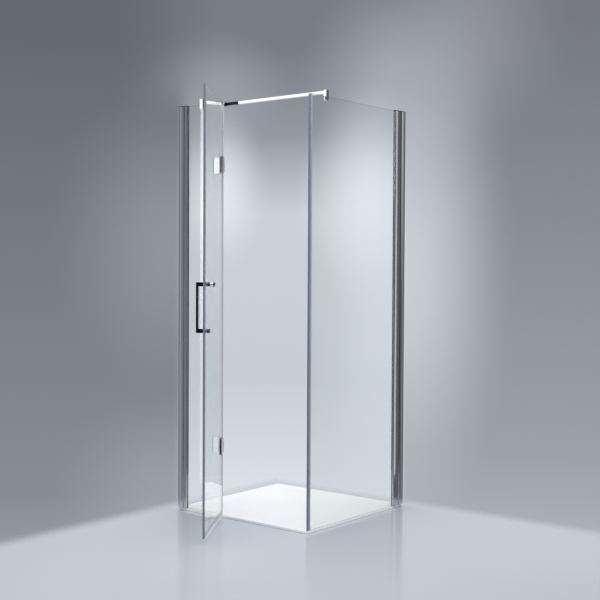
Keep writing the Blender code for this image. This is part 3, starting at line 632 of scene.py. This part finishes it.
def cap_outline(reach):
    w, a, d = 0.013, 0.0111, 0.035
    return RIDGE + [(d, -a), (reach - 0.027, -a), (reach - 0.003, -0.0096), (reach, -0.0060),
                    (reach, 0.0060), (reach - 0.003, 0.0096), (reach - 0.027, a), (d, a),
                    (d, w), (0, w)]


for side, origin, angle, reach, length, PROFILE_H, inner in (
        ("left", (WALL_X, FRONT_MID), 0.0, 0.055, 0.052, 1.956, 1),
        ("back", (SIDE_MID, WALL_Y), -90.0, 0.082, 0.060, 1.950, -1)):
    base = at(origin[0], origin[1], 0.0) @ Matrix.Rotation(math.radians(angle), 4, "Z")
    # the section's outer side is its -y side at the left wall, +y at the back
    mirror = base @ Matrix.Diagonal((1.0, float(inner), 1.0, 1.0))
    bm = bmesh.new()
    outline = channel_outline()
    prism(bm, rounded(outline, [0.0010 if x > 0.034 and y < -0.0135 else
                                (0.0006 if x > 0.034 else 0.0003) for x, y in outline], steps=3),
          PZ, PZ + PROFILE_H, mirror)
    holes = bmesh.new()
    for z in (0.12, PROFILE_H / 2, PROFILE_H - 0.12):
        revolve(holes, [(0.0, 0.006), (0.0030, 0.006), (0.0030, -0.006), (0.0, -0.006)],
                base @ at(0, 0, PZ + z) @ Matrix.Rotation(math.radians(90), 4, "Y"), 32)
    piece(side + "_wall_channel_fine", bm, "profile", [side + "_wall_channel"], carve=holes)
    bm = bmesh.new()
    outline = adjust_outline(length)
    prism(bm, rounded(outline, [0.0022 if x > length - 0.004 and abs(y) > 0.0060 else 0.0004
                                for x, y in outline], steps=4),
          PZ, PZ + PROFILE_H, base @ at(reach - length, 0, 0))
    piece(side + "_adjusting_profile_fine", bm, "profile", [side + "_adjusting_profile"])
    bm = bmesh.new()
    prism(bm, rounded(cap_outline(reach), 0.0009, steps=3), PZ + PROFILE_H + 0.0003,
          PZ + PROFILE_H + 0.0003 + CAP_T, mirror)
    piece(side + "_profile_cap_fine", bm, "profile_cap", [side + "_profile_cap"], ease=0.0006)
    lock_x = (0.035 + reach - length) / 2
    for i, z in enumerate((0.16, PROFILE_H / 2 + 0.02, PROFILE_H - 0.16)):
        spot = base @ at(lock_x, inner * 0.013, PZ + z) @ (INWARDS if inner > 0 else OUTWARDS)
        bm = bmesh.new()
        revolve(bm, [(0.0, 0.0006), (0.0011, 0.0006, 6), (0.0011, 0.0020, 6), (0.0016, 0.0021),
                     (0.0024, 0.0018), (0.0031, 0.0012), (0.0034, 0.0003), (0.0016, 0.0003),
                     (0.0016, -0.0060), (0.0006, -0.0076), (0.0, -0.0076)], spot, 36)
        node = "%s_lock_screw_%d" % (side, i + 1)
        piece(node + "_fine", bm, "steel", [node])

# ---------------------------------------------------------------- support bar
BAR_Y, BAR_Z, BAR_W = -0.250, 1.981, 0.015
CLAMP_X, KNUCKLE_X, SLEEVE_END, CORNER_R = -0.260, -0.221, -0.132, 0.0105
along_x = Matrix(((0, 0, 1, 0), (1, 0, 0, 0), (0, 1, 0, 0), (0, 0, 0, 1)))
along_y = Matrix(((1, 0, 0, 0), (0, 0, 1, 0), (0, 1, 0, 0), (0, 0, 0, 1)))


def square(half, radius, steps=4):
    return rounded(rect(-half, -half, half, half), radius, steps)


bm = bmesh.new()
prism(bm, square(BAR_W / 2, 0.0013), SLEEVE_END + 0.0003, SIDE_MID - 0.0083,
      at(0, BAR_Y, BAR_Z) @ along_x)
revolve(bm, [(0.0, -0.0060), (0.0036, -0.0060), (0.0040, -0.0056), (0.0040, 0.0004), (0.0, 0.0004)],
        at(SLEEVE_END, BAR_Y, BAR_Z) @ Matrix.Rotation(math.radians(90), 4, "Y"), 32)
bar = piece("support_bar_fine", bm, "chrome", ["support_bar"], ease=0.0004)

# the short arm runs to the knuckle at an angle; its foot is cut to the clamp
foot, head = Vector((CLAMP_X, FRONT_MID)), Vector((KNUCKLE_X, BAR_Y))
way = (head - foot).normalized()
across = Vector((way.y, -way.x))
reach = (head - foot).length - CORNER_R - 0.0003
ends = []
for s in (-1, 1):
    v = foot + across * (s * BAR_W / 2)
    ends.append((FRONT_MID + 0.0083 - v.y) / way.y)
arm_place = Matrix(((way.x, across.x, 0, foot.x), (way.y, across.y, 0, foot.y),
                    (0, 0, 1, BAR_Z), (0, 0, 0, 1)))
bm = bmesh.new()
prism(bm, [(ends[0], -BAR_W / 2), (reach, -BAR_W / 2), (reach, BAR_W / 2), (ends[1], BAR_W / 2)],
      -BAR_W / 2, BAR_W / 2, arm_place)
arm = piece("support_short_arm_fine", bm, "chrome", ["support_short_arm"], ease=0.0013,
            ease_steps=4)

bm = bmesh.new()
revolve(bm, rounded([(0.0, 0.0090), (CORNER_R, 0.0090), (CORNER_R, -0.0090), (0.0, -0.0090)],
                    [0, 0.0012, 0.0012, 0], steps=4, closed=False), at(KNUCKLE_X, BAR_Y, BAR_Z), 64)
prism(bm, square(BAR_W / 2, 0.0013), KNUCKLE_X + 0.002, SLEEVE_END,
      at(0, BAR_Y, BAR_Z) @ along_x)
taps = bmesh.new()
revolve(taps, [(0.0, 0.004), (0.0022, 0.004), (0.0022, -0.0008), (0.0012, -0.0009, 6),
               (0.0012, -0.0024, 6), (0.0, -0.0024)],
        at(SLEEVE_END - 0.010, BAR_Y, BAR_Z - BAR_W / 2) @ Matrix.Rotation(math.pi, 4, "X"), 24)
# painted dark reflection: the connector and its sleeve take the near-black finish to show the dark
# they mirror
corner = piece("corner_connector_fine", bm, "dark_chrome", ["corner_connector"], ease=0.0004,
               carve=taps)


def clamp(name, place, top):
    bm = bmesh.new()
    t, s, lo, hi = 0.008, 0.0033, top - 0.019, top + 0.029
    pts = [(-t, lo), (-s, lo), (-s, top + 0.0003), (s, top + 0.0003), (s, lo), (t, lo),
           (t, hi), (-t, hi)]
    prism(bm, rounded(pts, [0.0008, 0.0003, 0.0002, 0.0002, 0.0003, 0.0008, 0.0014, 0.0014],
                      steps=4), -0.009, 0.009, place)
    return piece(name + "_fine", bm, "chrome", [name], ease=0.0008)


inline_clamp = clamp("inline_glass_clamp", at(CLAMP_X, FRONT_MID, 0) @ along_x, INLINE_TOP)
side_clamp = clamp("side_glass_clamp", at(SIDE_MID, BAR_Y, 0) @ along_y, TOP)
for name, spot in (
        ("inline_glass_clamp_screw", at(CLAMP_X, FRONT_MID + 0.008, 1.9585) @ INWARDS),
        ("side_glass_clamp_screw",
         at(SIDE_MID - 0.008, BAR_Y, 1.9525) @ Matrix.Rotation(math.radians(-90), 4, "Y"))):
    bm = bmesh.new()
    revolve(bm, [(0.0, -0.0013), (0.0010, -0.0013, 6), (0.0010, 0.0006, 6), (0.0014, 0.0008),
                 (0.0020, 0.0008), (0.0023, 0.0005), (0.0023, -0.0037), (0.0015, -0.0042),
                 (0.0, -0.0042)], spot, 36)
    piece(name + "_fine", bm, "steel", [name])

# ---------------------------------------------------------------------- seals
def lips_outline(lap):
    """The two clear lips and the web of a magnet seal; y = 0 is the glass edge."""
    inn, out = 0.0033, 0.0045
    return [(-lap, -out + 0.0004), (-lap + 0.0016, -out), (0.0003, -out), (0.0013, -out + 0.0003),
            (0.0013, out - 0.0003), (0.0003, out), (-lap + 0.0016, out), (-lap, out - 0.0004),
            (-lap, inn), (0.0003, inn), (0.0003, -inn), (-lap, -inn)]


def head_outline(head):
    """The magnet strip's casing: three soft ribs on its striking face."""
    y, x0 = 0.0034, 0.0013
    face = [(head - 0.0010, -y), (head - 0.0003, -0.0026), (head, -0.0020), (head - 0.0006, -0.0013),
            (head, -0.0004), (head, 0.0004), (head - 0.0006, 0.0013), (head, 0.0020),
            (head - 0.0003, 0.0026), (head - 0.0010, y)]
    return [(x0, -y + 0.0008), (x0 + 0.0012, -y + 0.0008), (x0 + 0.0018, -y)] + face + \
           [(x0 + 0.0018, y), (x0 + 0.0012, y - 0.0008), (x0, y - 0.0008)]


for name, place, lap, head, z0, z1 in (
        ("door_magnet_seal", DOOR @ at(0.500, 0, 0), 0.010, 0.011, 0.020, 1.969),
        ("side_magnet_seal", at(SIDE_MID, -0.365, 0) @ Matrix.Rotation(math.radians(-90), 4, "Z"),
         0.011, 0.0095, 0.0143, 1.9603)):
    bm = bmesh.new()
    prism(bm, rounded(lips_outline(lap), 0.0002, steps=2), z0, z1, place)
    piece(name + "_lips", bm, "clear_seal", [name],
          look="edge_seal" if name == "side_magnet_seal" else None)
    bm = bmesh.new()
    prism(bm, rounded(head_outline(head), 0.0004, steps=2), z0 + 0.0004, z1 - 0.0004, place)
    piece(name + "_strip", bm, "clear_seal", [], body=BODY_OF[name], look="magnet")

w, edge, inn = 0.0007, -0.005, 0.0033
out, web = inn + w, edge + 0.0003 + w
bulb = [(edge - 0.009, -out + 0.0003), (edge - 0.0075, -out), (web, -out), (web, -0.0022),
        (0.0030, -0.0022), (0.0042, -0.0012), (0.0042, 0.0012), (0.0030, 0.0022), (web, 0.0022),
        (web, out), (edge - 0.0075, out), (edge - 0.009, out - 0.0003), (edge - 0.009, inn),
        (edge + 0.0003, inn), (edge + 0.0003, -inn), (edge - 0.009, -inn)]
gap = 0.0375 + 0.0015
for tag, z0, z1 in (("lower", 0.0143, HINGE_Z["lower"] - gap),
                    ("middle", HINGE_Z["lower"] + gap, HINGE_Z["upper"] - gap),
                    ("upper", HINGE_Z["upper"] + gap, INLINE_TOP - 0.001)):
    bm = bmesh.new()
    prism(bm, rounded(bulb, [0.0002] * 3 + [0.0004] + [0.0014] * 4 + [0.0004] + [0.0002] * 7,
                      steps=3), z0, z1, FIXED)
    piece(tag + "_hinge_seal_fine", bm, "clear_seal", [tag + "_hinge_seal"], look="drip_seal")

drip = [(-inn - 0.0011, 0.0160), (-inn - 0.0011, -0.0016), (-0.0012, -0.0016),
        (-0.0012, -0.0062), (0.0000, -0.0066), (0.0000, -0.0016), (inn + 0.0008, -0.0016),
        (inn + 0.0042, -0.0050), (inn + 0.0050, -0.0044), (inn + 0.0011, 0.0000),
        (inn + 0.0011, 0.0160), (inn, 0.0160), (inn, -0.0003), (-inn, -0.0003), (-inn, 0.0160)]
bm = bmesh.new()
prism(bm, rounded(drip, 0.0003, steps=2), 0.0120, 0.4894,
      DOOR @ at(0, 0, 0.021) @ Matrix(((0, 0, 1, 0), (1, 0, 0, 0), (0, 1, 0, 0), (0, 0, 0, 1))))
piece("door_bottom_seal_fine", bm, "clear_seal", ["door_bottom_seal"], look="drip_seal")

# ----------------------------------------------------------------------- tray
WASTE = (-0.300, -0.250)
bm = bmesh.new()
prism(bm, rounded(rect(-0.405, -0.377, 0.397, 0.385), 0.0030, steps=6), 0.0, 0.012)
hollow = bmesh.new()
revolve(hollow, rounded([(0.0, 0.030), (0.0575, 0.030), (0.0575, 0.0128), (0.0565, 0.0112),
                         (0.0565, 0.0060), (0.0445, 0.0060), (0.0445, -0.010), (0.0, -0.010)],
                        [0, 0, 0.0008, 0.0008, 0.0015, 0.0008, 0, 0], closed=False),
        at(WASTE[0], WASTE[1], 0), 96)
piece("shower_tray_fine", bm, "tray", ["shower_tray"], ease=0.0016, ease_steps=4, carve=hollow)
bm = bmesh.new()
revolve(bm, rounded([(0.0370, 0.0080), (0.0530, 0.0080), (0.0530, 0.0063), (0.0438, 0.0063),
                     (0.0438, 0.0010), (0.0370, 0.0010)],
                    [0.0008, 0.0008, 0.0002, 0.0002, 0.0004, 0.0004]),
        at(WASTE[0], WASTE[1], 0), 96, closed=True)
piece("waste_flange_fine", bm, "steel", ["waste_flange"])
bm = bmesh.new()
revolve(bm, rounded([(0.0, 0.0124), (0.030, 0.0123), (0.046, 0.0122), (0.0550, 0.0118),
                     (0.0550, 0.0094), (0.0480, 0.0094), (0.0480, 0.0083), (0.0440, 0.0083),
                     (0.0440, 0.0094), (0.0, 0.0094)],
                    [0, 0.02, 0.02, 0.0009, 0.0005, 0.0003, 0.0004, 0.0004, 0.0003, 0],
                    closed=False), at(WASTE[0], WASTE[1], 0), 96)
piece("waste_cover_fine", bm, "waste_cover", ["waste_cover"])

# -------------------------------------------------------------------- floor
bm = bmesh.new()
bmesh.ops.create_circle(bm, cap_ends=True, segments=96, radius=14.0)
floor_mesh = bpy.data.meshes.new("studio_floor")
bm.to_mesh(floor_mesh)
bm.free()
floor = bpy.data.objects.new("studio_floor", floor_mesh)
floor.location = (0.0, 0.0, -0.0006)
scene.collection.objects.link(floor)

fm, t, bsdf, out, coord = new_material("studio_floor")
spots = coord.outputs["Object"]
cloud = t.noise(spots, 1.2, 3.0)
t.link(t.mix(cloud, srgb(180, 185, 193), srgb(186, 191, 199)), bsdf.inputs["Base Color"])
t.link(t.span(t.noise(spots, 60.0, 3.0), 0.3, 0.7, 0.10, 0.15), bsdf.inputs["Roughness"])
far = t.add("ShaderNodeVectorMath", operation="LENGTH")
t.link(spots, far.inputs[0])
plan = t.add("ShaderNodeSeparateXYZ", (0, spots))
# it melts into the backdrop where the two walls would stand
fade = t.math("MAXIMUM", t.span(t.math("MULTIPLY", plan.outputs[0], -1.0), 0.42, 0.60),
              t.span(plan.outputs[1], 0.40, 0.58))
fade = t.math("MAXIMUM", fade, t.span(far.outputs["Value"], 1.6, 6.5))
# bright metal mirrors only the lit floor close by
path = t.add("ShaderNodeLightPath")
fade = t.math("MAXIMUM", fade, t.math("MULTIPLY", path.outputs["Is Glossy Ray"],
                                      t.span(far.outputs["Value"], 0.75, 1.50)))
see = t.add("ShaderNodeBsdfTransparent")
mixer = t.add("ShaderNodeMixShader", (0, fade))
t.link(bsdf.outputs[0], mixer.inputs[1])
t.link(see.outputs[0], mixer.inputs[2])
t.link(mixer.outputs[0], out.inputs["Surface"])
floor.data.materials.append(fm)

# -------------------------------------------------------------------- world
world = bpy.data.worlds.new("studio")
world.use_nodes = True
scene.world = world
t = Tree(world.node_tree)
coord = t.add("ShaderNodeTexCoord")
axes = t.add("ShaderNodeSeparateXYZ", (0, coord.outputs["Generated"]))
x, y, z = axes.outputs
# seen directly and through glass: a backdrop lit in the middle, darker upwards
lit = t.ramp(z, -0.5, 0.7, [
    (-0.20, srgb(220, 224, 232)), (-0.10, srgb(200, 205, 214)), (0.05, srgb(204, 208, 217)),
    (0.12, srgb(150, 154, 163)), (0.20, srgb(120, 124, 133))])
unlit_right = t.ramp(z, -0.5, 0.7, [
    (-0.32, srgb(190, 195, 202)), (-0.16, srgb(155, 161, 168)), (0.22, srgb(118, 122, 128))])
unlit_left = t.ramp(z, -0.5, 0.7, [
    (-0.32, srgb(170, 176, 182)), (-0.20, srgb(134, 141, 148)), (0.20, srgb(102, 107, 115))])
around = t.math("MULTIPLY", t.math("ARCTAN2", y, x), 180.0 / math.pi)
signed = t.math("SUBTRACT", around, 90.0 + math.degrees(YAW))
unsigned = t.math("MULTIPLY", signed, -1.0)


def pool(under, to_left, height, wide, tall, strength):
    """A soft oval pool of light, its middle so many degrees left of the view."""
    px = t.math("DIVIDE", t.math("SUBTRACT", signed, to_left), wide)
    pz = t.math("DIVIDE", t.math("SUBTRACT", z, height), tall)
    near = t.math("SQRT", t.math("ADD", t.math("MULTIPLY", px, px), t.math("MULTIPLY", pz, pz)))
    return t.mix(t.span(near, 0.0, 1.0, strength, 0.0), under, srgb(244, 248, 255))


# two spots over the enclosure, a weaker glow beside it on either side
inside = pool(pool(lit, 4.2, 0.074, 2.7, 0.082, 0.64), -3.6, 0.066, 4.1, 0.112, 0.80)
inside = pool(pool(inside, -4.5, -0.04, 4.6, 0.24, 0.44), -5.0, 0.18, 5.5, 0.09, 0.22)
inside = pool(inside, 4.6, 0.165, 4.5, 0.06, 0.13)
outside = t.mix(t.span(signed, -5.0, 5.0), unlit_right, unlit_left)
outside = pool(pool(outside, 6.6, 0.03, 7.0, 0.16, 0.14), 6.6, -0.20, 7.0, 0.10, 0.13)
outside = pool(pool(outside, -5.6, 0.010, 5.9, 0.28, 0.50), -7.0, 0.21, 7.5, 0.12, 0.17)
high_up = t.span(z, 0.125, 0.175)
near_aside = t.math("MAXIMUM", t.span(signed, 5.7, 6.6), t.span(unsigned, 4.9, 5.7))
wide_aside = t.math("MAXIMUM", t.span(signed, 3.5, 10.0), t.span(unsigned, 4.0, 10.0))
seen = t.mix(t.mix(high_up, near_aside, wide_aside), inside, outside)
# seen in reflections: a studio with a bright back, dark sides and a dark front
ring = t.ramp(around, -180.0, 180.0, [(a, (v * 0.93, v * 0.99, v * 1.08, 1.0)) for a, v in (
    (-180, 0.42), (-153, 0.44), (-143, 0.23), (-121, 0.21), (-112, 0.36), (-100, 0.30),
    (-84, 0.06), (-48, 0.035), (0, 0.06), (24, 0.10), (38, 0.16), (46, 0.11), (60, 0.12),
    (76, 0.30), (160, 0.30), (180, 0.42))])
back = t.mix(0.22, lit, (0.10, 0.10, 0.11, 1))
# the floor mirrors the foot of the bright backdrop
back = t.mix(t.math("MULTIPLY", t.span(z, 0.13, 0.19), t.span(z, 0.22, 0.32, 1.0, 0.0)), back,
             (0.64, 0.66, 0.70, 1))
behind = t.math("ABSOLUTE", t.math("SUBTRACT", around, 116.0))
level_ring = t.mix(t.span(behind, 16.0, 42.0), back, ring)
above = t.mix(t.span(z, 0.30, 0.75), level_ring, (0.55, 0.56, 0.58, 1))
mirrored = t.mix(t.span(z, -0.32, -0.20), srgb(207, 212, 218), above)
path = t.add("ShaderNodeLightPath")
straight = t.math("MAXIMUM", path.outputs["Is Camera Ray"], path.outputs["Is Transmission Ray"])
surround = t.mix(path.outputs["Is Diffuse Ray"], mirrored, (0.57, 0.585, 0.61, 1))
final = t.mix(straight, surround, seen)
bg = t.add("ShaderNodeBackground", ("Color", final))
wout = t.add("ShaderNodeOutputWorld", ("Surface", bg.outputs[0]))


# ------------------------------------------------------------------- lights
def area(name, at, look, size, power, color=(1, 1, 1)):
    data = bpy.data.lights.new(name, "AREA")
    data.shape = "RECTANGLE"
    data.size, data.size_y = size
    data.energy = power
    data.color = color
    ob = bpy.data.objects.new(name, data)
    ob.location = at
    ob.rotation_euler = (Vector(look) - Vector(at)).to_track_quat("-Z", "Y").to_euler()
    scene.collection.objects.link(ob)
    return ob


key = area("key_above", (0.1, -0.3, 3.7), (0.1, -0.3, 0.0), (3.2, 3.2), 128.0,
           (1.0, 0.995, 0.985))
key.visible_glossy = False
fill = area("fill_front", (2.4, -4.0, 2.8), (0.0, 0.0, 0.8), (2.0, 2.0), 42.0)
fill.visible_glossy = False


def reflector(name, centre, facing, size, levels, receivers):
    """A soft card that only the named objects mirror. levels: (height 0-1, strength)."""
    bm = bmesh.new()
    bmesh.ops.create_grid(bm, x_segments=1, y_segments=1, size=0.5)
    mesh = bpy.data.meshes.new(name)
    bm.to_mesh(mesh)
    bm.free()
    ob = bpy.data.objects.new(name, mesh)
    ob.scale = (size[0], size[1], 1.0)
    ob.rotation_euler = (math.radians(90), 0, math.radians(facing))
    ob.location = centre
    scene.collection.objects.link(ob)
    m = bpy.data.materials.new(name)
    m.use_nodes = True
    t = Tree(m.node_tree)
    coord = t.add("ShaderNodeTexCoord")
    ax = t.add("ShaderNodeSeparateXYZ", (0, coord.outputs["Object"]))
    level = t.ramp(t.math("ADD", ax.outputs["Y"], 0.5), 0.0, 1.0,
                   [(h, v / 10.0) for h, v in levels])
    glow = t.add("ShaderNodeEmission", ("Color", level))
    glow.inputs["Strength"].default_value = 10.0
    # whatever does not mirror the card looks straight through it
    see = t.add("ShaderNodeBsdfTransparent")
    both = t.add("ShaderNodeAddShader", (0, glow.outputs[0]), (1, see.outputs[0]))
    t.add("ShaderNodeOutputMaterial", ("Surface", both.outputs[0]))
    mesh.materials.append(m)
    for flag in ("camera", "diffuse", "transmission", "shadow"):
        setattr(ob, "visible_" + flag, False)
    group = bpy.data.collections.new(name + "_receivers")
    for r in receivers:
        group.objects.link(r)
    ob.light_linking.receiver_collection = group
    return ob


# a tall card beside the left end, mirrored by the fixed front glass
reflector("card_beside", (-0.417, -0.531 - 0.75, 1.25), 90, (1.50, 2.30),
          [(0.0, 2.0), (0.25, 2.4), (0.50, 4.9), (1.0, 6.6)], [NODES["inline_glass"]])
# a wide card before the left end, mirrored by the bright fittings at the top
reflector("card_before", (-1.75, -2.15, 2.05), -42.6, (1.30, 1.10),
          [(0.0, 1.0), (1.0, 1.15)], [bar, inline_clamp, side_clamp])
# brighter ones for the two fittings that stand behind the open door
reflector("card_before_leaf", (-1.80, -2.20, 2.05), -42.6, (1.30, 1.10),
          [(0.0, 2.1), (1.0, 2.4)], [bpy.data.objects["upper_hinge_fixed_outer_leaf_fine"]])
reflector("card_low_leaf", (-0.98, -1.26, 0.18), -42.6, (0.60, 0.30),
          [(0.0, 1.0), (1.0, 1.1)], [bpy.data.objects["lower_hinge_fixed_outer_leaf_fine"]])
reflector("card_right", (2.16, 0.39, 2.36), 106.2, (1.00, 0.60),
          [(0.0, 2.4), (1.0, 2.6)], [arm])
# two narrow upright cards that draw the bright bands of the back wall's profiles
reflector("card_nose", (2.125, 2.095, 1.15), 139.5, (0.62, 2.90),
          [(0.0, 0.45), (1.0, 0.45)], [bpy.data.objects["back_adjusting_profile_fine"]])
reflector("card_mouth", (1.968, 2.311, 1.15), 141.3, (0.30, 2.90),
          [(0.0, 0.0), (0.42, 0.0), (0.80, 0.36), (1.0, 0.40)],
          [bpy.data.objects["back_wall_channel_fine"]])
